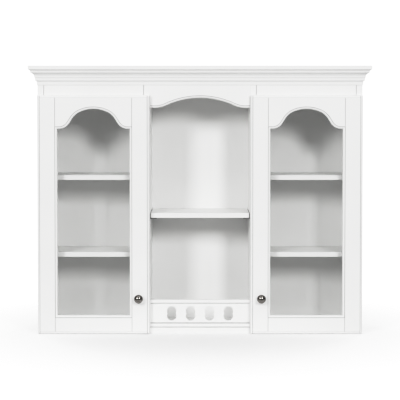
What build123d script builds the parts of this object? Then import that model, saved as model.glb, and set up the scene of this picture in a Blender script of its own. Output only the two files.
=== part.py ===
"""Three-bay wall storage cabinet: two glazed side cupboards around an open centre bay.

Millimetres, +Z up. The front faces -Y and +X is to the right of someone who faces it.
The origin is the middle of the underside of the whole closed cabinet, knobs included.
"""

import math
import os

from build123d import *

os.makedirs("parts", exist_ok=True)

# ---------------------------------------------------------------- case
CASE_WIDTH = 1088.0
CASE_DEPTH = 240.0
CASE_HEIGHT = 835.0  # underside of the bottom board to the top of the upright panels
BOARD = 20.0  # thickness of the structural boards
EASE = 1.0  # rounding of the boards' front arrises
FIT_GAP = 0.2  # glue gap between a loose end and the board it meets
HOLE_PLAY = 0.05  # room round a pin, a dowel or a screw in its hole
BACK_SHEET = 5.5
REBATE_WIDTH = 9.0
REBATE_PLAY = 0.5
FRIEZE_DROP = 51.0  # height of the frieze rails above the doors
FRIEZE_GAP = 1.5  # open joint at each end of a frieze rail
RAIL_THICK = 20.0
HANG_RAIL_HEIGHT = 30.0
HANG_RAIL_THICK = 18.0
WALL_HOLE_SPACING = 812.8
WALL_HOLE_RADIUS = 2.75
TOP_BOARD = 20.0

# ---------------------------------------------------------------- crown
# Members of the crown from the bottom up: rise of the slanted underside, reach at the foot, reach
# at the head, height of the head, and bulge.
CROWN_MEMBERS = (
    (1.6, 2.0, 2.5, 12.6, 0.0),
    (3.0, 7.5, 8.0, 24.8, 0.0),
    (1.2, 10.0, 17.0, 39.4, 2.4),
    (3.2, 22.0, 24.5, 49.8, 1.2),
    (3.2, 29.2, 29.5, 64.0, 0.0),
)
CROWN_FOOT = 0.5  # reach of the flat underside
CROWN_ARRIS = 1.0  # bevel along the top edge
BATTEN_THICK = 18.0
BATTEN_HEIGHT = 38.0

# ---------------------------------------------------------------- doors
DOOR_THICK = 20.0
DOOR_GAP = 2.0  # between the closed door and the case front
DOOR_FOOT_GAP = 1.5  # between the door and the surface under the cabinet
DOOR_TOP_REVEAL = 34.0  # frieze that shows above the door
DOOR_OUTER_INSET = 0.5  # door edge inside the side panel's outer face
DOOR_INNER_OVERLAY = 18.8  # door edge over the partition
STILE_WIDTH = 66.0
BOTTOM_RAIL = 62.0
TOP_RAIL_END = 112.0
STICKING = 8.0  # width of the moulded edge round the glass and round the door
STEP = 1.5  # depth of the step inside the moulded edge
QUIRK_DEPTH = 4.0
QUIRK_WIDTH = 1.4
OVOLO = 5.6
SEAM = 0.6  # chamfer along a joint between two members
SEAM_GAP = 1.4  # open joint beside each end of a rail
SEAM_DEPTH = 5.0
GLASS_THICK = 4.0
GLASS_PLAY = 1.0
REBATE_DEPTH = 10.0
GLASS_REBATE = 8.0
BEAD_PLAY = 0.3

# Arch of a door, as shares of half the opening's width, from its end to its middle.
ARCH_HOLLOW = 0.333
ARCH_RAMP = 0.15
ARCH_SHOULDER = 0.475
ARCH_CROWN = 0.908
ARCH_STEEP = 58.0
ARCH_GENTLE = 25.0

# ---------------------------------------------------------------- knobs
KNOB_RADIUS = 15.0
KNOB_REACH = 28.0
KNOB_HEIGHT = 121.0
KNOB_INSET = 36.0  # from the door's inner edge
KNOB_BASE_RADIUS = 9.0
KNOB_BASE = 2.5
KNOB_NECK_RADIUS = 6.5
KNOB_HALF_DEPTH = 12.5
KNOB_SCREW_RADIUS = 2.0
KNOB_HEAD_RADIUS = 4.5
KNOB_THREAD = 12.0
SCREW_HEAD = 2.4
SCREW_CLEAR = 0.3
HEAD_ROUNDING = 0.6  # of a screw head's height
RECESS_LENGTH = 1.2  # of a screw head's radius
RECESS_WIDTH = 0.25  # of a screw head's radius
BUMPER_RADIUS = 4.0
BUMPER_THICK = 1.6
BUMPER_FROM_END = 30.0

# ---------------------------------------------------------------- centre bay
VALANCE_END_DROP = 76.0
VALANCE_HOLLOW = 0.54  # share of half the bay
VALANCE_FLAT = 16.0
VALANCE_SLOPE = 25.0
GALLERY_HEIGHT = 91.0
GALLERY_LIFT = 2.0  # shadow gap over the bottom board
GALLERY_BEAD = 10.0
GALLERY_FIELD = 3.0  # how far the field lies behind the beads
GALLERY_QUIRK = 2.6  # rise of each side of the grooves by the beads
GALLERY_GROOVE = 6.0  # depth of the grooves
GALLERY_NOSE = 2.5  # how far the beads are rounded back
GALLERY_BEVEL = 8.0
PIERCING_RADIUS = 16.0
PIERCING_STEP = 17.0  # between the two circles of one figure
PIERCING_HEIGHT = 67.0  # middle of the figure above the underside
PIERCINGS = 4
PIERCING_SPACING = 63.6
SHELF_THICK = 16.0
SHELF_EASE = 1.5
CENTRE_SHELF_TOP = 405.5
CENTRE_SHELF_INSET = 6.0
ANGLE_WALL = 2.5
ANGLE_FOOT = 22.0
ANGLE_BACK_GAP = 18.0  # between the angles and the back sheet
ANGLE_RISE = 14.0
ANGLE_SCREW_RADIUS = 1.6
ANGLE_HEAD_RADIUS = 3.4
ANGLE_SCREW_LENGTH = 16.0
ANGLE_SCREW_SETBACK = 45.0

# ---------------------------------------------------------------- side bays
SHELF_TOPS = {"lower": 272.0, "upper": 532.0}
SHELF_INSET = 25.0
SHELF_PLAY = 1.0
PIN_RADIUS = 2.5
PIN_DEPTH = 9.0
PIN_REACH = 8.0
PIN_SETBACK = 40.0

# ---------------------------------------------------------------- dowels
DOWEL_RADIUS = 4.0
DOWEL_LENGTH = 30.0
DOWEL_END_PLAY = 1.0
DOWEL_SETBACK = 50.0

# ---------------------------------------------------------------- hinges
HINGE_FROM_END = 100.0
CUP_RADIUS = 17.5
CUP_DEPTH = 11.5
CUP_WALL = 1.0
CUP_RIM = 4.0  # between the cup and the door's edge
CUP_PLAY = 0.1
FLANGE_THICK = 1.2
FLANGE_HALF_WIDTH = 7.0
FLANGE_HALF_HEIGHT = 31.0
CUP_SCREW_SPACING = 48.0
# The link turns on the arm's pin and carries the door's pin. Both are given inwards, the first
# from the side panel's inner face, the other from its outer face, and backwards from the case front.
ARM_PIN = (8.0, -4.0)
DOOR_PIN = (9.9, -5.0)
LINK_DIP = 4.5
LINK_THICK = 2.4
LINK_HALF_WIDTH = 4.5
EYE_RADIUS = 2.3
PIVOT_RADIUS = 1.2
CHEEK_THICK = 1.5
CHEEK_PLAY = 0.5
CHEEK_RADIUS = 4.0
ARM_START = 6.0
ARM_END = 74.0
ARM_HEIGHT = 9.0
PLATE_THICK = 3.0
PLATE_START = 28.0
PLATE_END = 78.0
PLATE_HALF_WIDTH = 9.0
PLATE_SETBACK = 37.0
PLATE_SPACING = 32.0
PLATE_SCREW_RADIUS = 2.4
PLATE_SCREW_LENGTH = 13.0
PLATE_HEAD_RADIUS = 4.2
ARM_SCREW_RADIUS = 2.0
CUP_SCREW_RADIUS = 1.6
CUP_SCREW_LENGTH = 12.0
CUP_HEAD_RADIUS = 3.2
CUP_SCREW_HEAD = 0.6

# ---------------------------------------------------------------- worked out
STANDING = (Align.CENTER, Align.CENTER, Align.MIN)  # on a spot, above it
HANGING = (Align.CENTER, Align.CENTER, Align.MAX)  # under a spot, below it
front_reach = DOOR_GAP + DOOR_THICK + KNOB_REACH
case_front = (front_reach - CASE_DEPTH) / 2
case_back = case_front + CASE_DEPTH
half_case = CASE_WIDTH / 2
inner_side = half_case - BOARD
bay = (CASE_WIDTH - 4 * BOARD) / 3
half_bay = bay / 2
partition_out = half_bay + BOARD
inner_depth = CASE_DEPTH - BACK_SHEET - REBATE_PLAY
sheet_front = case_front + inner_depth
angle_length = inner_depth - CENTRE_SHELF_INSET - ANGLE_BACK_GAP
door_out = half_case - DOOR_OUTER_INSET
door_in = partition_out - DOOR_INNER_OVERLAY
door_low = DOOR_FOOT_GAP
door_high = CASE_HEIGHT - DOOR_TOP_REVEAL
door_back = case_front - DOOR_GAP
door_front = door_back - DOOR_THICK
open_out = door_out - STILE_WIDTH
open_in = door_in + STILE_WIDTH
open_low = door_low + BOTTOM_RAIL
open_spring = door_high - TOP_RAIL_END
half_open = (open_out - open_in) / 2
open_mid = (open_out + open_in) / 2
frieze_low = CASE_HEIGHT - FRIEZE_DROP
cup_x = door_out - CUP_RIM - CUP_RADIUS
hinge_heights = (door_low + HINGE_FROM_END, door_high - HINGE_FROM_END)
knob_x = door_in + KNOB_INSET


def front(y):
    """A sketch plane across the cabinet at depth y: its X is X, its Y is Z, it looks to -Y."""
    return Plane.XZ.offset(-y)


def save(part, name):
    """Label a finished piece and write it as parts/name.step."""
    part.label = name
    export_step(part, f"parts/{name}.step")


def save_pair(piece, name):
    """Write a piece of the right-hand side, and its mirror image for the left-hand side."""
    save(piece.part, f"{name}_right")
    with BuildPart() as twin:
        add(piece.part)
        mirror(about=Plane.YZ, mode=Mode.REPLACE)
    save(twin.part, f"{name}_left")


def block(x_range, y_range, z_range, mode=Mode.ADD):
    """A plain block between two corners, in the part that is being built."""
    ranges = (x_range, y_range, z_range)
    with Locations(tuple(sum(pair) / 2 for pair in ranges)):
        Box(*[high - low for low, high in ranges], mode=mode)


def front_edges(part, direction):
    """The edges along one direction that lie on the part's foremost face."""
    return part.faces().sort_by(Axis.Y)[0].edges().filter_by(direction)


# ---------------------------------------------------------------- dowels
# Every dowel is centred on the joint that it crosses: its middle, and the way it points.
dowel_rows = (case_front + DOWEL_SETBACK, sheet_front - DOWEL_SETBACK)
upright_middles = [side * x for side in (-1, 1) for x in (half_bay + BOARD / 2, half_case - BOARD / 2)]
partition_middles = [side * (half_bay + BOARD / 2) for side in (-1, 1)]
UPWARD = (0, 0, 0)
SIDEWAYS = (0, 90, 0)
dowels = [Location((x, y, CASE_HEIGHT), UPWARD) for x in upright_middles for y in dowel_rows]
dowels += [Location((x, y, BOARD), UPWARD) for x in partition_middles for y in dowel_rows]
dowels += [Location((x, y, BOARD / 2), SIDEWAYS) for x in (-inner_side, inner_side) for y in dowel_rows]


def bore_dowels():
    """Drill every dowel hole that reaches the part being built."""
    with Locations(*dowels):
        Cylinder(DOWEL_RADIUS + HOLE_PLAY, DOWEL_LENGTH + DOWEL_END_PLAY, mode=Mode.SUBTRACT)


with BuildPart() as carcass_dowels:
    with Locations(*dowels):
        Cylinder(DOWEL_RADIUS, DOWEL_LENGTH)
save(carcass_dowels.part, "carcass_dowels")


# ---------------------------------------------------------------- shelf pins
def pin_spots(wall, inwards):
    """Where the pins enter one upright: its face at x, and the way into the bay."""
    rows = (case_front + SHELF_INSET + PIN_SETBACK, sheet_front - PIN_SETBACK)
    heights = [top - SHELF_THICK - PIN_RADIUS for top in SHELF_TOPS.values()]
    return [Location((wall, y, z), (0, 90 * inwards, 0)) for y in rows for z in heights]


def bore_pins(wall, inwards):
    """Drill the shelf pins' holes in the upright being built."""
    with Locations(*pin_spots(wall, inwards)):
        Cylinder(PIN_RADIUS + HOLE_PLAY, 2 * PIN_DEPTH, mode=Mode.SUBTRACT)


side_bay_walls = [(inner_side, -1), (partition_out, 1), (-inner_side, 1), (-partition_out, -1)]
pin_middle = Pos(0, 0, (PIN_REACH - PIN_DEPTH) / 2)

with BuildPart() as shelf_pins:
    with Locations(*[spot * pin_middle for wall in side_bay_walls for spot in pin_spots(*wall)]):
        Cylinder(PIN_RADIUS, PIN_DEPTH + PIN_REACH)
save(shelf_pins.part, "shelf_pins")


# ---------------------------------------------------------------- screws
def screw_blank(head_radius, head_height, shank_radius, shank_length):
    """A round-headed cross-recess screw: its head stands on 0, its shank hangs below."""
    with BuildPart() as screw:
        Cylinder(shank_radius, shank_length, align=HANGING)
        Cylinder(head_radius, head_height, align=STANDING)
        rim = screw.edges().filter_by(GeomType.CIRCLE).sort_by(Axis.Z)[-1]
        fillet(rim, head_height * HEAD_ROUNDING)
        recess = (head_radius * RECESS_LENGTH, head_radius * RECESS_WIDTH)
        with Locations((0, 0, head_height)):
            Box(*recess, head_height, mode=Mode.SUBTRACT)
            Box(*recess[::-1], head_height, mode=Mode.SUBTRACT)
    return screw.part


def bore(spots, radius, depth):
    """Blind holes in the part being built, down local -Z from each spot."""
    with Locations(*spots):
        Cylinder(radius, 2 * depth, mode=Mode.SUBTRACT)


# ---------------------------------------------------------------- hinge places
plate_face = inner_side - PLATE_THICK
plate_spots = [
    Location((plate_face, case_front + v, z), (0, -90, 0))
    for z in hinge_heights
    for v in (PLATE_SETBACK, PLATE_SETBACK + PLATE_SPACING)
]
cup_face = door_back + FLANGE_THICK
cup_screw_spots = [
    Location((cup_x, cup_face, z + dz), (-90, 0, 0))
    for z in hinge_heights
    for dz in (-CUP_SCREW_SPACING / 2, CUP_SCREW_SPACING / 2)
]
cup_centres = [Location((cup_x, door_back, z), (-90, 0, 0)) for z in hinge_heights]
arm_screw_y = case_front + PLATE_SETBACK + PLATE_SPACING / 2
arm_screw_spots = [
    Location((plate_face - ARM_HEIGHT, arm_screw_y, z), (0, -90, 0)) for z in hinge_heights
]
knob_spot = Location((knob_x, door_back, KNOB_HEIGHT), (-90, 0, 0))
knob_face = Location((knob_x, door_front, KNOB_HEIGHT), (90, 0, 0))
angle_spots = [
    Location(
        (half_bay - ANGLE_WALL, case_front + CENTRE_SHELF_INSET + v, CENTRE_SHELF_TOP - SHELF_THICK / 2),
        (0, -90, 0),
    )
    for v in (ANGLE_SCREW_SETBACK, angle_length - ANGLE_SCREW_SETBACK)
]


def from_case(point):
    """A point given inwards and backwards from the right-hand front corner of the case."""
    return (half_case - point[0], case_front + point[1])


# ---------------------------------------------------------------- uprights and boards
with BuildPart() as side_panel:
    block((inner_side, half_case), (case_front, case_back), (0, CASE_HEIGHT))
    fillet(front_edges(side_panel, Axis.Z), EASE)
    block(
        (inner_side - 1, inner_side + REBATE_WIDTH),
        (sheet_front, case_back + 1),
        (-1, CASE_HEIGHT + 1),
        Mode.SUBTRACT,
    )
    bore_dowels()
    bore_pins(inner_side, -1)
    bore(plate_spots, PLATE_SCREW_RADIUS + HOLE_PLAY, PLATE_SCREW_LENGTH + SCREW_CLEAR)
save_pair(side_panel, "side_panel")

with BuildPart() as partition:
    block((half_bay, partition_out), (case_front, sheet_front), (BOARD, CASE_HEIGHT))
    fillet(front_edges(partition, Axis.Z), EASE)
    bore_dowels()
    bore_pins(partition_out, 1)
    bore(angle_spots, ANGLE_SCREW_RADIUS + HOLE_PLAY, ANGLE_SCREW_LENGTH + SCREW_CLEAR)
save_pair(partition, "partition")

with BuildPart() as bottom_board:
    block((-inner_side, inner_side), (case_front, sheet_front), (0, BOARD))
    fillet(front_edges(bottom_board, Axis.X), EASE)
    bore_dowels()
save(bottom_board.part, "bottom_board")

with BuildPart() as top_board:
    block((-half_case, half_case), (case_front, case_back), (CASE_HEIGHT, CASE_HEIGHT + TOP_BOARD))
    bore_dowels()
save(top_board.part, "top_board")

wall_holes = [
    Location((side * WALL_HOLE_SPACING / 2, case_back, CASE_HEIGHT - HANG_RAIL_HEIGHT / 2), (90, 0, 0))
    for side in (-1, 1)
]
wall_hole_depth = CASE_DEPTH - inner_depth + HANG_RAIL_THICK + 1

with BuildPart() as back_panel:
    sheet_edge = inner_side + REBATE_WIDTH - REBATE_PLAY
    block((-sheet_edge, sheet_edge), (sheet_front, sheet_front + BACK_SHEET), (0, CASE_HEIGHT))
    bore(wall_holes, WALL_HOLE_RADIUS, wall_hole_depth)
save(back_panel.part, "back_panel")

bay_spans = [(-inner_side, -partition_out), (-half_bay, half_bay), (partition_out, inner_side)]

with BuildPart() as hanging_rails:
    for span in bay_spans:
        block(
            span,
            (sheet_front - HANG_RAIL_THICK, sheet_front),
            (CASE_HEIGHT - HANG_RAIL_HEIGHT, CASE_HEIGHT),
        )
    bore(wall_holes, WALL_HOLE_RADIUS, wall_hole_depth)
save(hanging_rails.part, "hanging_rails")

with BuildPart() as frieze_rail:
    frieze_span = (partition_out + FRIEZE_GAP, inner_side - FRIEZE_GAP)
    block(frieze_span, (case_front, case_front + RAIL_THICK), (frieze_low, CASE_HEIGHT))
    chamfer(front_edges(frieze_rail, Axis.Z), SEAM)
save_pair(frieze_rail, "frieze_rail")

# ---------------------------------------------------------------- side shelves
for level, top in SHELF_TOPS.items():
    with BuildPart() as side_shelf:
        block(
            (partition_out + SHELF_PLAY, inner_side - SHELF_PLAY),
            (case_front + SHELF_INSET, sheet_front - SHELF_PLAY),
            (top - SHELF_THICK, top),
        )
        fillet(front_edges(side_shelf, Axis.X), SHELF_EASE)
    save_pair(side_shelf, f"{level}_shelf")


# ---------------------------------------------------------------- crown
crown_reach = CROWN_MEMBERS[-1][2]
crown_height = CROWN_MEMBERS[-1][3] + CROWN_ARRIS


def crown_profile():
    """Section of the crown: outwards from the case face, upwards from the top of the case."""
    with BuildSketch(mode=Mode.PRIVATE) as section:
        with BuildLine():
            pen = Line((0, 0), (CROWN_FOOT, 0))
            for rise, foot, head, height, bulge in CROWN_MEMBERS:
                pen = Line(pen @ 1, (foot, (pen @ 1).Y + rise))
                if bulge:
                    pen = SagittaArc(pen @ 1, (head, height), bulge)
                else:
                    pen = Line(pen @ 1, (head, height))
            Polyline(pen @ 1, (crown_reach - CROWN_ARRIS, crown_height), (0, crown_height), (0, 0))
        make_face()
    return section.sketch


front_corner = (half_case + crown_reach, case_front - crown_reach)

with BuildPart() as crown_front:
    crown_face = Plane((0, case_front, CASE_HEIGHT), x_dir=(0, -1, 0), z_dir=(-1, 0, 0))
    with BuildSketch(crown_face):
        add(crown_profile())
    extrude(amount=front_corner[0], both=True)
    with BuildSketch(Plane.XY.offset(CASE_HEIGHT)):
        left_corner = (-front_corner[0], front_corner[1])
        Polygon(left_corner, front_corner, (half_case, case_front), (-half_case, case_front), align=None)
    extrude(amount=crown_height, mode=Mode.INTERSECT)
save(crown_front.part, "crown_front")

with BuildPart() as crown_side:
    crown_face = Plane((half_case, case_back, CASE_HEIGHT), x_dir=(1, 0, 0), z_dir=(0, -1, 0))
    with BuildSketch(crown_face):
        add(crown_profile())
    extrude(amount=CASE_DEPTH + crown_reach)
    with BuildSketch(Plane.XY.offset(CASE_HEIGHT)):
        rear_corner = (front_corner[0], case_back)
        Polygon((half_case, case_front), front_corner, rear_corner, (half_case, case_back), align=None)
    extrude(amount=crown_height, mode=Mode.INTERSECT)
save_pair(crown_side, "crown")

batten_heights = (CASE_HEIGHT + TOP_BOARD, CASE_HEIGHT + TOP_BOARD + BATTEN_HEIGHT)

with BuildPart() as crown_battens:
    block((-half_case, half_case), (case_front, case_front + BATTEN_THICK), batten_heights)
    for side in (-1, 1):
        side_span = sorted((side * half_case, side * (half_case - BATTEN_THICK)))
        block(side_span, (case_front + BATTEN_THICK + FIT_GAP, case_back), batten_heights)
save(crown_battens.part, "crown_battens")


# ---------------------------------------------------------------- moulded openings
def rim_edges(part, outline, depth):
    """The edges at one depth that run along an opening's outline."""
    rim = outline.faces()[0].outer_wire()
    level = part.edges().filter_by_position(Axis.Y, depth - 0.01, depth + 0.01)
    return level.filter_by(lambda edge: rim.distance_to(edge @ 0.5) < 0.05)


def mould(part, outline, face, thickness):
    """Cut an opening through a board from its face, and run a quirk and an ovolo round it."""
    with BuildSketch(front(face), mode=Mode.PRIVATE) as moulding:
        add(outline)
        offset(amount=STICKING, kind=Kind.INTERSECTION)
    with BuildSketch(front(face), mode=Mode.PRIVATE) as ovolo_foot:
        add(outline)
        offset(amount=STICKING - QUIRK_WIDTH, kind=Kind.INTERSECTION)
    extrude(front(face) * outline, amount=-thickness, mode=Mode.SUBTRACT)
    extrude(moulding.sketch, amount=-STEP, mode=Mode.SUBTRACT)
    extrude(moulding.sketch - ovolo_foot.sketch, amount=-QUIRK_DEPTH, mode=Mode.SUBTRACT)
    fillet(rim_edges(part, front(face + STEP) * outline, face + STEP), OVOLO)


def door_opening():
    """Outline of the glass opening of the right-hand door, in X and Z."""
    radii = [share * half_open for share in (ARCH_HOLLOW, ARCH_SHOULDER, ARCH_CROWN)]
    steep, gentle = math.radians(ARCH_STEEP), math.radians(ARCH_GENTLE)
    hollow, shoulder, crown = radii
    ramp = ARCH_RAMP * half_open
    run = (
        hollow * math.sin(steep)
        + ramp * math.cos(steep)
        + shoulder * (math.sin(steep) - math.sin(gentle))
        + crown * math.sin(gentle)
    )
    with BuildSketch(mode=Mode.PRIVATE) as outline:
        with BuildLine() as half:
            foot = Polyline((half_open, 0), (half_open, open_spring - open_low), (run, open_spring - open_low))
            rise = JernArc(foot @ 1, (-1, 0), hollow, -ARCH_STEEP)
            slope = PolarLine(rise @ 1, ramp, direction=rise % 1)
            turn = JernArc(slope @ 1, slope % 1, shoulder, ARCH_STEEP - ARCH_GENTLE)
            top = JernArc(turn @ 1, turn % 1, crown, ARCH_GENTLE)
            mirror(about=Plane.YZ)
            Line((half_open, 0), (-half_open, 0))
        make_face()
    return outline.sketch.moved(Location((open_mid, open_low, 0)))


def valance_opening():
    """Outline of the space under the valance's arch, in X and Z, down past its ends."""
    slope = math.radians(VALANCE_SLOPE)
    hollow = VALANCE_HOLLOW * half_bay
    run = half_bay - VALANCE_FLAT
    crown = run / math.sin(slope) - hollow
    spring = CASE_HEIGHT - VALANCE_END_DROP
    low = spring - VALANCE_END_DROP
    with BuildSketch(mode=Mode.PRIVATE) as outline:
        with BuildLine():
            foot = Polyline((half_bay, low), (half_bay, spring), (run, spring))
            rise = JernArc(foot @ 1, (-1, 0), hollow, -VALANCE_SLOPE)
            JernArc(rise @ 1, rise % 1, crown, VALANCE_SLOPE)
            mirror(about=Plane.YZ)
            Line((half_bay, low), (-half_bay, low))
        make_face()
    return outline.sketch


# ---------------------------------------------------------------- centre bay
with BuildPart() as centre_valance:
    valance_heights = (CASE_HEIGHT - VALANCE_END_DROP, CASE_HEIGHT)
    block((-half_bay, half_bay), (case_front, case_front + RAIL_THICK), valance_heights)
    mould(centre_valance, valance_opening(), case_front, RAIL_THICK)
save(centre_valance.part, "centre_valance")

with BuildPart() as gallery_rail:
    rail_end = Plane((0, case_front, BOARD + GALLERY_LIFT), x_dir=(0, 1, 0), z_dir=(1, 0, 0))
    crest = GALLERY_HEIGHT - GALLERY_BEAD
    with BuildSketch(rail_end):
        with BuildLine():
            Line((RAIL_THICK, 0), (GALLERY_NOSE, 0))
            ThreePointArc((GALLERY_NOSE, 0), (0, GALLERY_BEAD / 2), (GALLERY_NOSE, GALLERY_BEAD))
            Polyline(
                (GALLERY_NOSE, GALLERY_BEAD),
                (GALLERY_GROOVE, GALLERY_BEAD + GALLERY_QUIRK),
                (GALLERY_FIELD, GALLERY_BEAD + 2 * GALLERY_QUIRK),
                (GALLERY_FIELD, crest - GALLERY_BEVEL),
                (GALLERY_GROOVE, crest - GALLERY_QUIRK),
                (GALLERY_NOSE, crest),
            )
            ThreePointArc((GALLERY_NOSE, crest), (0, crest + GALLERY_BEAD / 2), (GALLERY_NOSE, GALLERY_HEIGHT))
            Polyline((GALLERY_NOSE, GALLERY_HEIGHT), (RAIL_THICK, GALLERY_HEIGHT), (RAIL_THICK, 0))
        make_face()
    extrude(amount=half_bay, both=True)
    with BuildSketch(front(case_front)):
        with GridLocations(PIERCING_SPACING, 1, PIERCINGS, 1):
            with Locations((0, PIERCING_HEIGHT - PIERCING_STEP / 2), (0, PIERCING_HEIGHT + PIERCING_STEP / 2)):
                Circle(PIERCING_RADIUS)
    extrude(amount=-RAIL_THICK, mode=Mode.SUBTRACT)
save(gallery_rail.part, "gallery_rail")

shelf_low = CENTRE_SHELF_TOP - SHELF_THICK
shelf_face = case_front + CENTRE_SHELF_INSET

with BuildPart() as centre_shelf:
    shelf_end = half_bay - ANGLE_WALL - FIT_GAP
    block((-shelf_end, shelf_end), (shelf_face, sheet_front - SHELF_PLAY), (shelf_low, CENTRE_SHELF_TOP))
    fillet(front_edges(centre_shelf, Axis.X), SHELF_EASE)
save(centre_shelf.part, "centre_shelf")

with BuildPart() as shelf_angle:
    angle_span = (shelf_face, shelf_face + angle_length)
    block((half_bay - ANGLE_FOOT, half_bay), angle_span, (shelf_low - ANGLE_WALL, shelf_low))
    block((half_bay - ANGLE_WALL, half_bay), angle_span, (shelf_low - ANGLE_WALL, shelf_low + ANGLE_RISE))
    with Locations(*angle_spots):
        CounterSinkHole(ANGLE_SCREW_RADIUS + HOLE_PLAY, ANGLE_HEAD_RADIUS + HOLE_PLAY)
save_pair(shelf_angle, "shelf_angle")

with BuildPart(mode=Mode.PRIVATE) as angle_screw:
    Cylinder(ANGLE_SCREW_RADIUS, ANGLE_SCREW_LENGTH, align=HANGING)
    head_height = ANGLE_HEAD_RADIUS - ANGLE_SCREW_RADIUS
    Cone(ANGLE_SCREW_RADIUS, ANGLE_HEAD_RADIUS, head_height, align=HANGING)

with BuildPart() as angle_screws:
    with Locations(*angle_spots):
        add(angle_screw.part)
    mirror(about=Plane.YZ)
save(angle_screws.part, "angle_screws")

# ---------------------------------------------------------------- door frame
arch_top = door_opening().bounding_box().max.Y
seam_out = open_out + STICKING
seam_in = open_in - STICKING
rebate_x = (open_in - GLASS_REBATE, open_out + GLASS_REBATE)
rebate_z = (open_low - GLASS_REBATE, arch_top + GLASS_REBATE)
glass_front = door_back - REBATE_DEPTH
glass_back = glass_front + GLASS_THICK

with BuildPart(mode=Mode.PRIVATE) as door_frame:
    block((door_in, door_out), (door_front + STEP, door_back), (door_low, door_high))
    fillet(door_frame.faces().sort_by(Axis.Y)[0].edges(), OVOLO)
    block(
        (door_in + STICKING, door_out - STICKING),
        (door_front, door_front + STEP),
        (door_low + STICKING, door_high - STICKING),
    )
    chamfer(front_edges(door_frame, Axis.X), STEP / 2)
    for quirk_x in (door_in + STICKING - QUIRK_WIDTH, door_out - STICKING):
        quirk_span = (quirk_x, quirk_x + QUIRK_WIDTH)
        block(quirk_span, (door_front, door_front + QUIRK_DEPTH), (door_low, door_high), Mode.SUBTRACT)
    for joint_x in (seam_in, seam_out - SEAM_GAP):
        joint_span = (joint_x, joint_x + SEAM_GAP)
        joint_depth = (door_front, door_front + SEAM_DEPTH)
        block(joint_span, joint_depth, (door_low + STICKING, open_low - STICKING), Mode.SUBTRACT)
        block(joint_span, joint_depth, (open_spring + STICKING, door_high - STICKING), Mode.SUBTRACT)
    mould(door_frame, door_opening(), door_front, DOOR_THICK)
    block(rebate_x, (glass_front, door_back + 1), rebate_z, Mode.SUBTRACT)


def member(outline):
    """One member of the door frame: what lies inside its outline."""
    with BuildPart() as piece:
        add(door_frame.part)
        with BuildSketch(front(door_front)):
            Polygon(*outline, align=None)
        extrude(amount=-DOOR_THICK, mode=Mode.INTERSECT)
    return piece


def across(points):
    """The same outline on the other side of the door's middle."""
    return [(2 * open_mid - x, z) for x, z in points]


low_mitre = [(seam_out, open_low - STICKING), (open_out, open_low)]
high_mitre = [(open_out, open_spring), (seam_out, open_spring + STICKING)]
stile_outline = [(door_out, door_low), (seam_out, door_low), *low_mitre, *high_mitre]
stile_outline += [(seam_out, door_high), (door_out, door_high)]
bottom_half = [(seam_out, door_low), *low_mitre]
top_half = [*high_mitre, (seam_out, door_high)]

with BuildPart() as hinge_stile:
    add(member(stile_outline).part)
    with Locations(*cup_centres):
        Cylinder(CUP_RADIUS + CUP_PLAY, 2 * (CUP_DEPTH + CUP_PLAY), mode=Mode.SUBTRACT)
    bore(cup_screw_spots, CUP_SCREW_RADIUS + HOLE_PLAY, CUP_SCREW_LENGTH + SCREW_CLEAR)
save_pair(hinge_stile, "hinge_stile")

with BuildPart() as knob_stile:
    add(member(across(stile_outline)).part)
    bore([knob_spot], KNOB_SCREW_RADIUS + SCREW_CLEAR, 2 * DOOR_THICK)
save_pair(knob_stile, "knob_stile")

save_pair(member(bottom_half + across(bottom_half)[::-1]), "bottom_rail")
save_pair(member(top_half + across(top_half)[::-1]), "arched_rail")

with BuildPart() as glass_pane:
    inset = GLASS_PLAY
    block(
        (rebate_x[0] + inset, rebate_x[1] - inset),
        (glass_front, glass_back),
        (rebate_z[0] + inset, rebate_z[1] - inset),
    )
save_pair(glass_pane, "glass_pane")

with BuildPart() as glass_beads:
    bead = GLASS_REBATE - BEAD_PLAY
    bead_depth = (glass_back, door_back)
    left, right = rebate_x[0] + BEAD_PLAY, rebate_x[1] - BEAD_PLAY
    low, high = rebate_z[0] + BEAD_PLAY, rebate_z[1] - BEAD_PLAY
    block((left, left + bead), bead_depth, (low, high))
    block((right - bead, right), bead_depth, (low, high))
    between = (left + bead + BEAD_PLAY, right - bead - BEAD_PLAY)
    block(between, bead_depth, (low, low + bead))
    block(between, bead_depth, (high - bead, high))
save_pair(glass_beads, "glass_beads")

# ---------------------------------------------------------------- knobs
with BuildPart() as door_knob:
    with BuildSketch(Plane((knob_x, door_front, KNOB_HEIGHT), x_dir=(1, 0, 0), z_dir=(0, 0, 1))):
        with Locations((0, -KNOB_BASE / 2)):
            Rectangle(2 * KNOB_BASE_RADIUS, KNOB_BASE)
        with Locations((0, -KNOB_REACH / 4)):
            Rectangle(2 * KNOB_NECK_RADIUS, KNOB_REACH / 2)
        with Locations((0, KNOB_HALF_DEPTH - KNOB_REACH)):
            Ellipse(KNOB_RADIUS, KNOB_HALF_DEPTH)
        with Locations((-KNOB_RADIUS, -KNOB_REACH / 2)):
            Rectangle(2 * KNOB_RADIUS, 2 * KNOB_REACH, mode=Mode.SUBTRACT)
    revolve(axis=Axis((knob_x, door_front, KNOB_HEIGHT), (0, 1, 0)))
    with Locations(knob_face):
        Cylinder(KNOB_SCREW_RADIUS + HOLE_PLAY, 2 * (KNOB_THREAD + SCREW_CLEAR), mode=Mode.SUBTRACT)
save_pair(door_knob, "door_knob")

with BuildPart() as knob_screw:
    with Locations(knob_spot):
        add(screw_blank(KNOB_HEAD_RADIUS, SCREW_HEAD, KNOB_SCREW_RADIUS, DOOR_THICK + KNOB_THREAD))
save_pair(knob_screw, "knob_screw")

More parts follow.
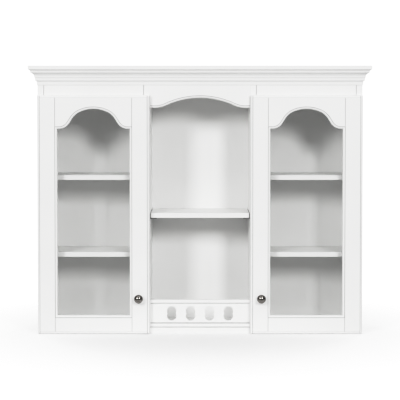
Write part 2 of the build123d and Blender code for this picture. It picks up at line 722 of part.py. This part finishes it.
with BuildPart() as door_bumpers:
    bumper_x = (door_in + partition_out) / 2
    bumper_heights = (door_low + BUMPER_FROM_END, door_high - BUMPER_FROM_END)
    with Locations(*[Location((bumper_x, door_back, z), (-90, 0, 0)) for z in bumper_heights]):
        Cylinder(BUMPER_RADIUS, BUMPER_THICK, align=STANDING)
    fillet(door_bumpers.faces().sort_by(Axis.Y)[-2:].edges(), BUMPER_THICK / 2)
save_pair(door_bumpers, "door_bumpers")

# ---------------------------------------------------------------- hinges
arm_pin = from_case((BOARD + ARM_PIN[0], ARM_PIN[1]))
door_pin = from_case(DOOR_PIN)
link_knee = ((arm_pin[0] + door_pin[0]) / 2, (arm_pin[1] + door_pin[1]) / 2 - LINK_DIP)
cup_bore = CUP_RADIUS - CUP_WALL
door_pin_half = math.sqrt(cup_bore**2 - (door_pin[0] - cup_x + PIVOT_RADIUS) ** 2)
cheek_inner = LINK_HALF_WIDTH + CHEEK_PLAY
cheek_outer = cheek_inner + CHEEK_THICK

with BuildPart() as hinge_cups:
    with Locations(*cup_centres):
        Cylinder(CUP_RADIUS, CUP_DEPTH, align=HANGING)
        Box(2 * FLANGE_HALF_WIDTH, 2 * FLANGE_HALF_HEIGHT, FLANGE_THICK, align=STANDING)
        Cylinder(CUP_RADIUS + FLANGE_THICK, FLANGE_THICK, align=STANDING)
        with Locations((0, 0, FLANGE_THICK)):
            Cylinder(
                cup_bore,
                CUP_DEPTH + FLANGE_THICK - CUP_WALL,
                align=HANGING,
                mode=Mode.SUBTRACT,
            )
    bore(cup_screw_spots, CUP_SCREW_RADIUS + HOLE_PLAY, CUP_DEPTH)
save_pair(hinge_cups, "hinge_cups")


def pins(places, radius, half_length):
    """Upright pins, one at each hinge height, centred on a point in plan."""
    with Locations(*[(*places, z) for z in hinge_heights]):
        Cylinder(radius, 2 * half_length)


with BuildPart() as hinge_cup_pins:
    pins(door_pin, PIVOT_RADIUS, door_pin_half)
save_pair(hinge_cup_pins, "hinge_cup_pins")

with BuildPart() as hinge_arm_pins:
    pins(arm_pin, PIVOT_RADIUS, cheek_outer)
    mirror(about=Plane.YZ)
save(hinge_arm_pins.part, "hinge_arm_pins")


def bar(start, end, width):
    """A round-ended strip between two points, in the sketch that is being drawn."""
    along = Vector(*end) - Vector(*start)
    middle = ((start[0] + end[0]) / 2, (start[1] + end[1]) / 2)
    with Locations(middle):
        turn = math.degrees(math.atan2(along.Y, along.X))
        SlotCenterToCenter(along.length, width, rotation=turn)


with BuildPart() as hinge_links:
    for z in hinge_heights:
        with BuildSketch(Plane.XY.offset(z)):
            bar(door_pin, link_knee, LINK_THICK)
            bar(link_knee, arm_pin, LINK_THICK)
            with Locations(door_pin, arm_pin):
                Circle(EYE_RADIUS)
                Circle(PIVOT_RADIUS + HOLE_PLAY, mode=Mode.SUBTRACT)
        extrude(amount=LINK_HALF_WIDTH, both=True)
save_pair(hinge_links, "hinge_links")

with BuildPart() as hinge_arms:
    for z in hinge_heights:
        web = (plate_face - ARM_HEIGHT, plate_face)
        arm_run = (case_front + ARM_START, case_front + ARM_END)
        block(web, arm_run, (z - cheek_outer, z + cheek_outer))
        for side in (-1, 1):
            cheek_low = min(side * cheek_inner, side * cheek_outer)
            with BuildSketch(Plane.XY.offset(z + cheek_low)):
                bar(arm_pin, (arm_pin[0], case_front + ARM_START + CHEEK_RADIUS), 2 * CHEEK_RADIUS)
            extrude(amount=CHEEK_THICK)
        hollow = (web[0] + CHEEK_THICK, plate_face + 1)
        block(hollow, (arm_run[0] - 1, arm_run[1] + 1), (z - cheek_inner, z + cheek_inner), Mode.SUBTRACT)
    with Locations(*[(*arm_pin, z) for z in hinge_heights]):
        Cylinder(PIVOT_RADIUS + HOLE_PLAY, 2 * cheek_outer + 1, mode=Mode.SUBTRACT)
    bore(arm_screw_spots, ARM_SCREW_RADIUS + HOLE_PLAY, CHEEK_THICK + 1)
save_pair(hinge_arms, "hinge_arms")

with BuildPart() as hinge_plates:
    for z in hinge_heights:
        plate_run = (case_front + PLATE_START, case_front + PLATE_END)
        block((plate_face, inner_side), plate_run, (z - PLATE_HALF_WIDTH, z + PLATE_HALF_WIDTH))
    bore(plate_spots, PLATE_SCREW_RADIUS + HOLE_PLAY, PLATE_THICK + 1)
    bore(arm_screw_spots, ARM_SCREW_RADIUS + HOLE_PLAY, ARM_HEIGHT + PLATE_THICK + 1)
    mirror(about=Plane.YZ)
save(hinge_plates.part, "hinge_plates")


def screw_group(name, spots, blank, both_sides):
    """A group of like screws, one at each spot."""
    with BuildPart() as group:
        with Locations(*spots):
            add(blank)
        if both_sides:
            mirror(about=Plane.YZ)
    if both_sides:
        save(group.part, name)
    else:
        save_pair(group, name)


plate_screw = screw_blank(PLATE_HEAD_RADIUS, SCREW_HEAD, PLATE_SCREW_RADIUS, PLATE_SCREW_LENGTH)
arm_screw = screw_blank(PLATE_HEAD_RADIUS, SCREW_HEAD, ARM_SCREW_RADIUS, ARM_HEIGHT + PLATE_THICK)
cup_screw = screw_blank(CUP_HEAD_RADIUS, CUP_SCREW_HEAD, CUP_SCREW_RADIUS, CUP_SCREW_LENGTH)
screw_group("hinge_plate_screws", plate_spots, plate_screw, True)
screw_group("hinge_arm_screws", arm_screw_spots, arm_screw, True)
screw_group("hinge_cup_screws", cup_screw_spots, cup_screw, False)
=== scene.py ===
"""Glazed wall cabinet: finishes, two turned knobs and a stage around the CAD model."""

import math

import bpy
import numpy as np
from bpy.props import FloatProperty, FloatVectorProperty, PointerProperty
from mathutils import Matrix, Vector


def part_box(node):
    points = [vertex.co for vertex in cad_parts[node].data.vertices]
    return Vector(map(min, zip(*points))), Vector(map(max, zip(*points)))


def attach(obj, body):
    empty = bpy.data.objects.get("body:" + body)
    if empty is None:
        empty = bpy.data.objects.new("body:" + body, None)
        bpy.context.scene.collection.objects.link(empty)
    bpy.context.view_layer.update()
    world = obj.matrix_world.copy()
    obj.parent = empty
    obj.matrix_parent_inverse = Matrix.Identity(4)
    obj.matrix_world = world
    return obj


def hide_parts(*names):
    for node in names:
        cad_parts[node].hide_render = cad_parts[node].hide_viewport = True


bl_info = {
    "name": "Glazed wall cabinet",
    "version": (1, 0, 0),
    "blender": (4, 5, 0),
    "location": "3D View > Sidebar > Cabinet",
    "description": "Finishes and new pieces of a glazed wall storage cabinet",
    "category": "Object",
}

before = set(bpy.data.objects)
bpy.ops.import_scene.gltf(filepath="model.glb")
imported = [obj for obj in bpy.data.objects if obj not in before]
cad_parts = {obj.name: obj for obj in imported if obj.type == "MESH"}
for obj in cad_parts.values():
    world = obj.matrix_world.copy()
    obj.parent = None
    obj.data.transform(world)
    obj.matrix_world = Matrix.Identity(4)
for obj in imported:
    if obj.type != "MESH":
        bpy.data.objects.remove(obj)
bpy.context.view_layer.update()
MM = 0.001


# ---------------------------------------------------------------- colour and nodes
def linear(code):
    """An sRGB hex colour as linear red, green and blue: each channel c becomes
    c / 12.92 below 0.04045, and ((c + 0.055) / 1.055) to the power 2.4 above it."""
    channels = [int(code[i:i + 2], 16) / 255 for i in (0, 2, 4)]
    return tuple(c / 12.92 if c <= 0.04045 else ((c + 0.055) / 1.055) ** 2.4 for c in channels)


def add_node(tree, kind, settings=None, inputs=None, links=None):
    """Add a node: its settings by attribute, its sockets by value, and its links by socket."""
    made = tree.nodes.new(kind)
    for name, value in (settings or {}).items():
        setattr(made, name, value)
    for name, value in (inputs or {}).items():
        made.inputs[name].default_value = value
    for name, source in (links or {}).items():
        tree.links.new(source, made.inputs[name])
    return made


def new_material(name):
    """An empty node material, with its output and the object's own coordinates."""
    material = bpy.data.materials.new(name)
    material.use_nodes = True
    tree = material.node_tree
    tree.nodes.clear()
    output = add_node(tree, "ShaderNodeOutputMaterial")
    place = add_node(tree, "ShaderNodeTexCoord").outputs["Object"]
    return material, tree, output, place


def per_metre(size_mm):
    """The noise scale that gives features of about this size."""
    return 1 / (size_mm * MM)


def varied(tree, place, size_mm, low, high, detail=2.0):
    """A slow noise over the surface, remapped to run from low to high."""
    noise = add_node(
        tree,
        "ShaderNodeTexNoise",
        inputs={"Scale": per_metre(size_mm), "Detail": detail},
        links={"Vector": place},
    )
    spread = add_node(
        tree,
        "ShaderNodeMapRange",
        inputs={"From Min": 0.3, "From Max": 0.7, "To Min": low, "To Max": high},
        links={"Value": noise.outputs["Fac"]},
    )
    return spread.outputs["Result"]


def two_tone(tree, place, size_mm, first, second):
    """A colour that drifts between two tones, over patches of the given size."""
    drift = varied(tree, place, size_mm, 0.0, 1.0)
    mix = add_node(tree, "ShaderNodeMix", {"data_type": "RGBA"}, links={"Factor": drift})
    mix.inputs["A"].default_value = (*first, 1)
    mix.inputs["B"].default_value = (*second, 1)
    return mix.outputs["Result"]


def relief(tree, place, layers):
    """A normal from layers of fine noise, each with its feature size and its height in mm."""
    normal = None
    for size_mm, height_mm in layers:
        noise = add_node(
            tree,
            "ShaderNodeTexNoise",
            inputs={"Scale": per_metre(size_mm), "Detail": 1.0},
            links={"Vector": place},
        )
        links = {"Height": noise.outputs["Fac"]}
        if normal is not None:
            links["Normal"] = normal
        bump = add_node(tree, "ShaderNodeBump", inputs={"Distance": height_mm * MM}, links=links)
        normal = bump.outputs["Normal"]
    return normal


# ---------------------------------------------------------------- materials
def sprayed_lacquer(name, colour):
    """Pigmented polyurethane lacquer, sprayed on sanded MDF and cured: an even satin white
    with a faint orange peel, a little duller and warmer in broad drifts of overspray, and
    darker in the quirks, grooves and inner corners by painted shade."""
    material, tree, output, place = new_material(name)
    dull = tuple(0.975 * c for c in colour)
    # How much of its near surroundings a place on the piece is open to, which sets the painted
    # shade.
    open_share = add_node(
        tree,
        "ShaderNodeAmbientOcclusion",
        {"only_local": True, "samples": 8},
        {"Distance": 5 * MM},
    )
    # Painted shade: a flat face keeps all of its colour, and the bottom of a narrow groove is
    # darkened to almost none of it.
    painted_groove_shade = add_node(
        tree,
        "ShaderNodeMapRange",
        inputs={"From Min": 0.35, "From Max": 0.88, "To Min": 0.08, "To Max": 1.0},
        links={"Value": open_share.outputs["AO"]},
    )
    # The paint's colour, darkened by the painted shade in grooves and corners.
    coat = add_node(
        tree,
        "ShaderNodeVectorMath",
        {"operation": "SCALE"},
        links={0: two_tone(tree, place, 160, colour, dull), "Scale": painted_groove_shade.outputs["Result"]},
    )
    # Orange peel is 1 to 2 mm across on the real door; 5 mm is the finest that shows.
    shader = add_node(
        tree,
        "ShaderNodeBsdfPrincipled",
        inputs={"IOR": 1.5, "Coat Weight": 0.08, "Coat Roughness": 0.25},
        links={
            "Base Color": coat.outputs["Vector"],
            "Roughness": varied(tree, place, 90, 0.40, 0.50),
            "Normal": relief(tree, place, [(5, 0.012), (1.5, 0.004)]),
        },
    )
    tree.links.new(shader.outputs["BSDF"], output.inputs["Surface"])
    return material


def lacquered_hardboard(name, colour):
    """Thin fibreboard, roller-coated white on its face: flatter than the sprayed boards, with
    the fine felt texture of the pressed fibres under the coat."""
    material, tree, output, place = new_material(name)
    dull = tuple(0.965 * c for c in colour)
    shader = add_node(
        tree,
        "ShaderNodeBsdfPrincipled",
        inputs={"IOR": 1.5},
        links={
            "Base Color": two_tone(tree, place, 240, colour, dull),
            "Roughness": varied(tree, place, 120, 0.52, 0.64),
            "Normal": relief(tree, place, [(3, 0.02), (12, 0.03)]),
        },
    )
    tree.links.new(shader.outputs["BSDF"], output.inputs["Surface"])
    return material


def float_glass(name, tint):
    """Clear float glass, 4 mm: it mirrors about a twenty-fifth of the light seen square on and
    nearly all at a glancing angle, and the rest passes straight through both faces."""
    material, tree, output, place = new_material(name)
    # Each face mirrors 4% square on, rising to all of it edge on, with the fifth power of
    # how far the face turns away.
    turned = add_node(tree, "ShaderNodeLayerWeight", inputs={"Blend": 0.5}).outputs["Facing"]
    rise = add_node(tree, "ShaderNodeMath", {"operation": "POWER"}, {1: 5.0}, {0: turned})
    # A trace of haze from wiping lies on the mirror.
    haze = varied(tree, place, 70, 0.036, 0.044)
    mirrored = add_node(
        tree,
        "ShaderNodeMath",
        {"operation": "MULTIPLY_ADD", "use_clamp": True},
        {1: 0.95},
        {0: rise.outputs["Value"], 2: haze},
    )
    shader = add_node(
        tree,
        "ShaderNodeBsdfPrincipled",
        inputs={"Base Color": (*tint, 1), "Metallic": 1.0},
        links={
            "Alpha": mirrored.outputs["Value"],
            "Roughness": varied(tree, place, 40, 0.015, 0.05),
        },
    )
    tree.links.new(shader.outputs["BSDF"], output.inputs["Surface"])
    return material


def toned_zinc(name, colour):
    """Cast zinc, polished, plated and toned dark: sharp bright reflections in a grey-brown metal,
    darker where the toning was not wiped back, over the slight unevenness of the casting."""
    material, tree, output, place = new_material(name)
    shader = add_node(
        tree,
        "ShaderNodeBsdfPrincipled",
        inputs={"Metallic": 1.0},
        links={
            "Base Color": two_tone(tree, place, 8, colour, tuple(0.62 * c for c in colour)),
            "Roughness": varied(tree, place, 4, 0.06, 0.11),
            "Normal": relief(tree, place, [(4, 0.02), (1.5, 0.004)]),
        },
    )
    tree.links.new(shader.outputs["BSDF"], output.inputs["Surface"])
    return material


def nickel_plate(name, colour):
    """Pressed steel, barrel-plated with bright nickel: a warm silver mirror that the pressing's
    fine drawing marks soften."""
    material, tree, output, place = new_material(name)
    shader = add_node(
        tree,
        "ShaderNodeBsdfPrincipled",
        inputs={"Metallic": 1.0},
        links={
            "Base Color": two_tone(tree, place, 5, colour, tuple(0.86 * c for c in colour)),
            "Roughness": varied(tree, place, 2.5, 0.18, 0.3),
            "Normal": relief(tree, place, [(1.2, 0.012)]),
        },
    )
    tree.links.new(shader.outputs["BSDF"], output.inputs["Surface"])
    return material


def powder_coat(name, colour, bright):
    """Polyester powder baked on folded steel: a dull black skin with a fine pebbled relief."""
    material, tree, output, place = new_material(name)
    shader = add_node(
        tree,
        "ShaderNodeBsdfPrincipled",
        inputs={"IOR": 1.5},
        links={
            "Base Color": two_tone(tree, place, 15, colour, bright),
            "Roughness": varied(tree, place, 6, 0.5, 0.66),
            "Normal": relief(tree, place, [(1.2, 0.04)]),
        },
    )
    tree.links.new(shader.outputs["BSDF"], output.inputs["Surface"])
    return material


def moulded_polyurethane(name, colour):
    """Clear polyurethane, cast as self-adhesive domes: soft, glossy and slightly milky."""
    material, tree, output, place = new_material(name)
    shader = add_node(
        tree,
        "ShaderNodeBsdfPrincipled",
        inputs={"IOR": 1.49, "Transmission Weight": 0.4, "Base Color": (*colour, 1)},
        links={
            "Roughness": varied(tree, place, 3, 0.16, 0.28),
            "Normal": relief(tree, place, [(2, 0.01)]),
        },
    )
    tree.links.new(shader.outputs["BSDF"], output.inputs["Surface"])
    return material


def turned_beech(name, light, dark):
    """Beech dowel, turned and left bare: straight pale grain with short darker flecks."""
    material, tree, output, place = new_material(name)
    stretch = add_node(
        tree,
        "ShaderNodeMapping",
        inputs={"Scale": (1.0, 1.0, 0.12)},
        links={"Vector": place},
    )
    shader = add_node(
        tree,
        "ShaderNodeBsdfPrincipled",
        inputs={"IOR": 1.5},
        links={
            "Base Color": two_tone(tree, stretch.outputs["Vector"], 1.2, light, dark),
            "Roughness": varied(tree, place, 5, 0.6, 0.75),
            "Normal": relief(tree, stretch.outputs["Vector"], [(0.8, 0.05)]),
        },
    )
    tree.links.new(shader.outputs["BSDF"], output.inputs["Surface"])
    return material


def matt_paper(name, colour, near, far):
    """Seamless backdrop paper, pressed matt, that fades into the white surround with distance."""
    material, tree, output, place = new_material(name)
    reach = add_node(tree, "ShaderNodeVectorMath", {"operation": "LENGTH"}, links={0: place})
    fade = add_node(
        tree,
        "ShaderNodeMapRange",
        {"interpolation_type": "SMOOTHSTEP"},
        {"From Min": near, "From Max": far, "To Min": 1.0, "To Max": 0.0},
        {"Value": reach.outputs["Value"]},
    )
    shader = add_node(
        tree,
        "ShaderNodeBsdfPrincipled",
        inputs={"Roughness": 0.9, "IOR": 1.2},
        links={
            "Base Color": two_tone(tree, place, 900, colour, tuple(c * 0.995 for c in colour)),
            "Alpha": fade.outputs["Result"],
        },
    )
    tree.links.new(shader.outputs["BSDF"], output.inputs["Surface"])
    return material


# ---------------------------------------------------------------- surfaces
SHARP_ANGLE = math.radians(35)  # faces that meet at more than this keep a hard edge


def mesh_piece(name, points, faces):
    """An object at the origin from an array of points and a list of faces."""
    mesh = bpy.data.meshes.new(name)
    mesh.from_pydata(points.tolist(), [], faces)
    mesh.validate()
    mesh.shade_smooth()
    mesh.set_sharp_from_angle(angle=SHARP_ANGLE)
    piece = bpy.data.objects.new(name, mesh)
    bpy.context.scene.collection.objects.link(piece)
    return piece


def revolved(name, centre, profile):
    """A solid of revolution about an axis along Y.

    A point at angle a and place k on the profile stands at the centre, plus radius[k] times
    (cos a, 0, sin a), minus reach[k] along Y. The profile's two ends lie on the axis, and each
    is closed by a fan of triangles.
    """
    turns = 96
    radius, reach = profile.T
    angle = np.linspace(0, 2 * np.pi, turns, endpoint=False)
    ring = slice(1, -1)
    x = centre[0] + np.outer(radius[ring], np.cos(angle))
    z = centre[2] + np.outer(radius[ring], np.sin(angle))
    y = np.broadcast_to(centre[1] - reach[ring, None], x.shape)
    grid = np.stack([x, y, z], axis=-1).reshape(-1, 3)
    ends = np.array([[centre[0], centre[1] - reach[k], centre[2]] for k in (0, -1)])
    points = np.vstack([grid, ends])
    rows, here = len(radius) - 2, np.arange(turns)
    after = (here + 1) % turns
    low, high = np.arange(rows - 1)[:, None] * turns, np.arange(1, rows)[:, None] * turns
    quads = np.stack([low + here, low + after, high + after, high + here], axis=-1).reshape(-1, 4)
    last = (rows - 1) * turns
    first_fan = np.stack([np.full(turns, rows * turns), after, here], axis=-1)
    last_fan = np.stack([np.full(turns, rows * turns + 1), last + here, last + after], axis=-1)
    return mesh_piece(name, points, quads.tolist() + first_fan.tolist() + last_fan.tolist())


def arc(centre, radii, start, end, steps):
    """Points along an ellipse's arc: centre + (radii x (sin t, -cos t)), t from start to end."""
    t = np.radians(np.linspace(start, end, steps))
    return np.column_stack([centre[0] + radii[0] * np.sin(t), centre[1] - radii[1] * np.cos(t)])


# ---------------------------------------------------------------- CAD nodes
LACQUER = "sprayed_polyurethane_lacquer"
# The CAD nodes of each finish, by how their names begin.
BOARDS = (
    "side_panel", "partition", "bottom_board", "top_board", "frieze_rail", "centre_valance",
    "gallery_rail", "centre_shelf", "lower_shelf", "upper_shelf", "crown", "hanging_rails",
)
DOOR_FRAME = ("hinge_stile", "knob_stile", "bottom_rail", "arched_rail", "glass_beads")
NICKEL_PLATED = (
    "hinge_plates", "hinge_arms", "hinge_arm_pins", "hinge_cups", "hinge_cup_pins", "hinge_links",
    "hinge_plate_screws", "hinge_arm_screws", "hinge_cup_screws", "knob_screw", "shelf_pins",
)


def nodes_named(*words):
    """The CAD nodes whose names begin with one of these words."""
    return [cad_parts[name] for name in sorted(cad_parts) if name.startswith(words)]


def dress(objects, material):
    """Give CAD nodes one material in all their slots."""
    for cad_object in objects:
        slots = cad_object.data.materials
        for i in range(len(slots)):
            slots[i] = material
        if not slots:
            slots.append(material)


class CabinetFinishes(bpy.types.PropertyGroup):
    """Colours of the cabinet's finishes."""

    paint: FloatVectorProperty(
        name="Paint",
        description="Colour of the sprayed boards",
        subtype="COLOR",
        default=linear("E4E4E3"),
    )
    back: FloatVectorProperty(
        name="Back sheet",
        description="Colour of the back sheet's coating",
        subtype="COLOR",
        default=linear("E1E1E0"),
    )
    pewter: FloatVectorProperty(
        name="Knobs",
        description="Colour of the knobs' toned plating",
        subtype="COLOR",
        default=linear("7E7A76"),
    )
    angle: FloatVectorProperty(
        name="Shelf angles",
        description="Colour of the powder coat",
        subtype="COLOR",
        default=linear("1B1B1C"),
    )
    nickel: FloatVectorProperty(
        name="Hinges",
        description="Colour of the nickel plating",
        subtype="COLOR",
        default=linear("C2BEB8"),
    )
    glass: FloatVectorProperty(
        name="Glass",
        description="Tint of the light that the glass mirrors",
        subtype="COLOR",
        default=linear("F6FAF8"),
    )


class CabinetSizes(bpy.types.PropertyGroup):
    """Sizes of the new pieces."""

    knob_radius: FloatProperty(
        name="Knob radius",
        description="Largest radius of a knob's ball",
        default=15 * MM,
        unit="LENGTH",
    )
    knob_base: FloatProperty(
        name="Knob base radius",
        description="Radius of the foot that meets the door",
        default=9 * MM,
        unit="LENGTH",
    )


class CabinetStage(bpy.types.PropertyGroup):
    """Camera, light and floor."""

    distance: FloatProperty(
        name="Camera distance",
        description="From the case front to the camera",
        default=4.9,
        unit="LENGTH",
    )
    eye: FloatProperty(
        name="Eye height",
        description="Height of the camera above the underside",
        default=0.779,
        unit="LENGTH",
    )
    tilt: FloatProperty(
        name="Tilt",
        description="How far the camera looks down",
        default=math.radians(1.96),
        subtype="ANGLE",
    )
    rise: FloatProperty(
        name="Lens rise",
        description="How far the lens is shifted, in picture widths",
        default=-0.12,
    )
    lens: FloatProperty(name="Lens", description="Focal length in mm", default=131.6)
    fill: FloatProperty(name="Fill", description="Strength of the even light", default=0.23)
    power: FloatProperty(
        name="Power",
        description="Power of a front softbox in watts",
        default=226.0,
    )


# ---------------------------------------------------------------- operators
class CABINET_OT_case(bpy.types.Operator):
    """Finish the case: panels, boards, frieze, shelves, valance, gallery and crown"""

    bl_idname = "cabinet.case"
    bl_label = "Case"

    def execute(self, context):
        finishes = context.scene.cabinet_finishes
        paint = sprayed_lacquer(LACQUER, tuple(finishes.paint))
        dress(nodes_named(*BOARDS), paint)
        back = lacquered_hardboard("roller_coated_fibreboard", tuple(finishes.back))
        dress(nodes_named("back_panel"), back)
        beech = turned_beech("turned_beech", linear("D9B98C"), linear("B98F5E"))
        dress(nodes_named("carcass_dowels"), beech)
        return {"FINISHED"}


class CABINET_OT_doors(bpy.types.Operator):
    """Finish the doors: stiles, rails, glazing beads, glass and bumpers"""

    bl_idname = "cabinet.doors"
    bl_label = "Doors"

    def execute(self, context):
        finishes = context.scene.cabinet_finishes
        dress(nodes_named(*DOOR_FRAME), bpy.data.materials[LACQUER])
        dress(nodes_named("glass_pane"), float_glass("clear_float_glass", tuple(finishes.glass)))
        polyurethane = moulded_polyurethane("cast_polyurethane", linear("F2F4F2"))
        dress(nodes_named("door_bumpers"), polyurethane)
        return {"FINISHED"}


class CABINET_OT_knobs(bpy.types.Operator):
    """Make the two turned knobs"""

    bl_idname = "cabinet.knobs"
    bl_label = "Knobs"

    def execute(self, context):
        finishes, sizes = context.scene.cabinet_finishes, context.scene.cabinet_sizes
        pewter = toned_zinc("toned_zinc_casting", tuple(finishes.pewter))
        for side in ("left", "right"):
            low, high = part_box(f"door_knob_{side}")
            centre = ((low[0] + high[0]) / 2, high[1], (low[2] + high[2]) / 2)
            reach = high[1] - low[1]
            profile = self.profile(sizes.knob_base, sizes.knob_radius, reach)
            piece = revolved(f"turned_knob_{side}", centre, profile)
            piece.data.materials.append(pewter)
            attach(piece, f"{side}_door")
            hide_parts(f"door_knob_{side}")
        return {"FINISHED"}

    @staticmethod
    def profile(base, ball, reach):
        """Radius and reach of a knob: a round-edged foot, a hollow neck and a flattened ball."""
        foot, edge = 2.4 * MM, 0.8 * MM
        neck, half_depth = 6.4 * MM, 12.4 * MM
        waist = 4.2 * MM
        start = np.array([[0, 0], [base, 0]])
        rim = arc((base - edge, foot - edge), (edge, -edge), 90, 0, 7)
        hollow = arc((base - edge, waist), (neck - base + edge, waist - foot), 12, 90, 9)
        open_angle = math.degrees(math.asin(neck / ball))
        bulb = arc((0, reach - half_depth), (ball, half_depth), open_angle, 180, 40)
        return np.vstack([start, rim, hollow, bulb])


class CABINET_OT_hardware(bpy.types.Operator):
    """Finish the metal parts: hinges, screws, shelf pins and the black shelf angles"""

    bl_idname = "cabinet.hardware"
    bl_label = "Hardware"

    def execute(self, context):
        finishes = context.scene.cabinet_finishes
        nickel = nickel_plate("bright_nickel_plate", tuple(finishes.nickel))
        dress(nodes_named(*NICKEL_PLATED), nickel)
        black = powder_coat("baked_powder_coat", tuple(finishes.angle), linear("262627"))
        dress(nodes_named("shelf_angle", "angle_screws"), black)
        return {"FINISHED"}


# Softboxes: azimuth from the front, height, width and length, and share of a front one's power.
SOFTBOXES = (
    ("left_softbox", -31, 2.45, (1.0, 1.4), 1.0),
    ("right_softbox", 21, 2.45, (0.9, 1.4), 1.0),
    ("top_left_softbox", -25, 8.5, (2.0, 3.0), 0.62),
    ("top_right_softbox", 35, 8.5, (2.0, 3.0), 0.62),
    ("rear_left_softbox", -145, 3.4, (2.0, 2.0), 0.8),
    ("rear_right_softbox", 150, 3.4, (2.0, 2.0), 0.8),
)
SOFTBOX_AWAY = 6.0  # from the middle of the floor, in metres
SOFTBOX_AIM = 0.5  # height of the point that every softbox faces
# Light that reaches the film, and how bright it shows.
FILM_SHOULDER = ((0.3, 0.29), (0.7, 0.68), (1.15, 0.863))
FILM_WHITE = 2.0
SURROUND_SEEN = 2.2  # strength of the white surround as the camera sees it
FLOOR_REACH = 8.0  # from the middle to each edge
FLOOR_FADE = (0.15, 1.2)  # where the floor starts and ends its fade, out from the middle
CLIP_END = 200


class CABINET_OT_stage(bpy.types.Operator):
    """Set the floor, the lights, the even surround and the camera"""

    bl_idname = "cabinet.stage"
    bl_label = "Stage"

    def execute(self, context):
        settings = context.scene.cabinet_stage
        self.floor()
        self.surround(context.scene, settings.fill)
        for name, azimuth, height, size, share in SOFTBOXES:
            self.softbox(name, azimuth, height, size, share * settings.power)
        self.camera(context.scene, settings)
        self.film(context.scene)
        return {"FINISHED"}

    @staticmethod
    def floor():
        """A flat sheet far wider than the view."""
        corners = FLOOR_REACH * np.array([[-1, -1, 0], [1, -1, 0], [1, 1, 0], [-1, 1, 0]])
        sheet = mesh_piece("floor", corners, [[0, 1, 2, 3]])
        sheet.data.materials.append(matt_paper("seamless_paper", linear("FCFCFC"), *FLOOR_FADE))

    @staticmethod
    def surround(scene, strength):
        """An even pale surround, as of white walls all round."""
        world = bpy.data.worlds.new("white_studio")
        world.use_nodes = True
        tree = world.node_tree
        tree.nodes.clear()
        white = (1, 1, 1, 1)
        light, seen = (
            add_node(tree, "ShaderNodeBackground", inputs={"Color": white, "Strength": level})
            for level in (strength, SURROUND_SEEN)
        )
        path = add_node(tree, "ShaderNodeLightPath")
        mix = add_node(
            tree,
            "ShaderNodeMixShader",
            links={
                0: path.outputs["Is Camera Ray"],
                1: light.outputs["Background"],
                2: seen.outputs["Background"],
            },
        )
        add_node(tree, "ShaderNodeOutputWorld", links={"Surface": mix.outputs["Shader"]})
        scene.world = world

    @staticmethod
    def softbox(name, azimuth, height, size, power):
        """A softbox, turned from the front by its azimuth towards +X, aimed at the middle."""
        lamp = bpy.data.lights.new(name, "AREA")
        lamp.shape = "RECTANGLE"
        lamp.size, lamp.size_y = size
        lamp.energy = power
        light = bpy.data.objects.new(name, lamp)
        turn = math.radians(azimuth)
        away = (math.sin(turn), -math.cos(turn))
        light.location = (SOFTBOX_AWAY * away[0], SOFTBOX_AWAY * away[1], height)
        dip = math.atan2(height - SOFTBOX_AIM, SOFTBOX_AWAY)
        light.rotation_euler = (math.radians(90) - dip, 0, turn)
        bpy.context.scene.collection.objects.link(light)

    @staticmethod
    def film(scene):
        """Plain colour with a soft shoulder, so that the brightest whites keep their shading."""
        view = scene.view_settings
        view.view_transform = "Standard"
        view.use_curve_mapping = True
        curves = view.curve_mapping
        curves.white_level = (FILM_WHITE, FILM_WHITE, FILM_WHITE)
        for light, shown in FILM_SHOULDER:
            curves.curves[3].points.new(light / FILM_WHITE, shown)
        curves.update()

    @staticmethod
    def camera(scene, settings):
        """The camera stands square to the front and looks slightly down."""
        case_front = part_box("side_panel_left")[0][1]
        lens = bpy.data.cameras.new("camera")
        lens.lens = settings.lens
        lens.shift_y = settings.rise
        lens.clip_end = CLIP_END
        camera = bpy.data.objects.new("camera", lens)
        camera.location = (0, case_front - settings.distance, settings.eye)
        camera.rotation_euler = (math.radians(90) - settings.tilt, 0, 0)
        scene.collection.objects.link(camera)
        scene.camera = camera


class CABINET_PT_panel(bpy.types.Panel):
    """The cabinet's settings and steps"""

    bl_idname = "CABINET_PT_panel"
    bl_label = "Cabinet"
    bl_space_type = "VIEW_3D"
    bl_region_type = "UI"
    bl_category = "Cabinet"

    def draw(self, context):
        for group in GROUPS:
            settings = getattr(context.scene, group)
            for name in settings.__annotations__:
                self.layout.prop(settings, name)
        for step in STEPS:
            self.layout.operator(step.bl_idname)


GROUPS = {
    "cabinet_finishes": CabinetFinishes,
    "cabinet_sizes": CabinetSizes,
    "cabinet_stage": CabinetStage,
}
STEPS = (CABINET_OT_case, CABINET_OT_doors, CABINET_OT_knobs, CABINET_OT_hardware, CABINET_OT_stage)


def register():
    for item in (*GROUPS.values(), *STEPS, CABINET_PT_panel):
        bpy.utils.register_class(item)
    for name, group in GROUPS.items():
        setattr(bpy.types.Scene, name, PointerProperty(type=group))


def unregister():
    for name in GROUPS:
        delattr(bpy.types.Scene, name)
    for item in reversed((*GROUPS.values(), *STEPS, CABINET_PT_panel)):
        bpy.utils.unregister_class(item)


def main():
    """Register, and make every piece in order."""
    register()
    bpy.ops.cabinet.case()
    bpy.ops.cabinet.doors()
    bpy.ops.cabinet.knobs()
    bpy.ops.cabinet.hardware()
    bpy.ops.cabinet.stage()
    bpy.context.view_layer.update()


if __name__ == "__main__":
    main()
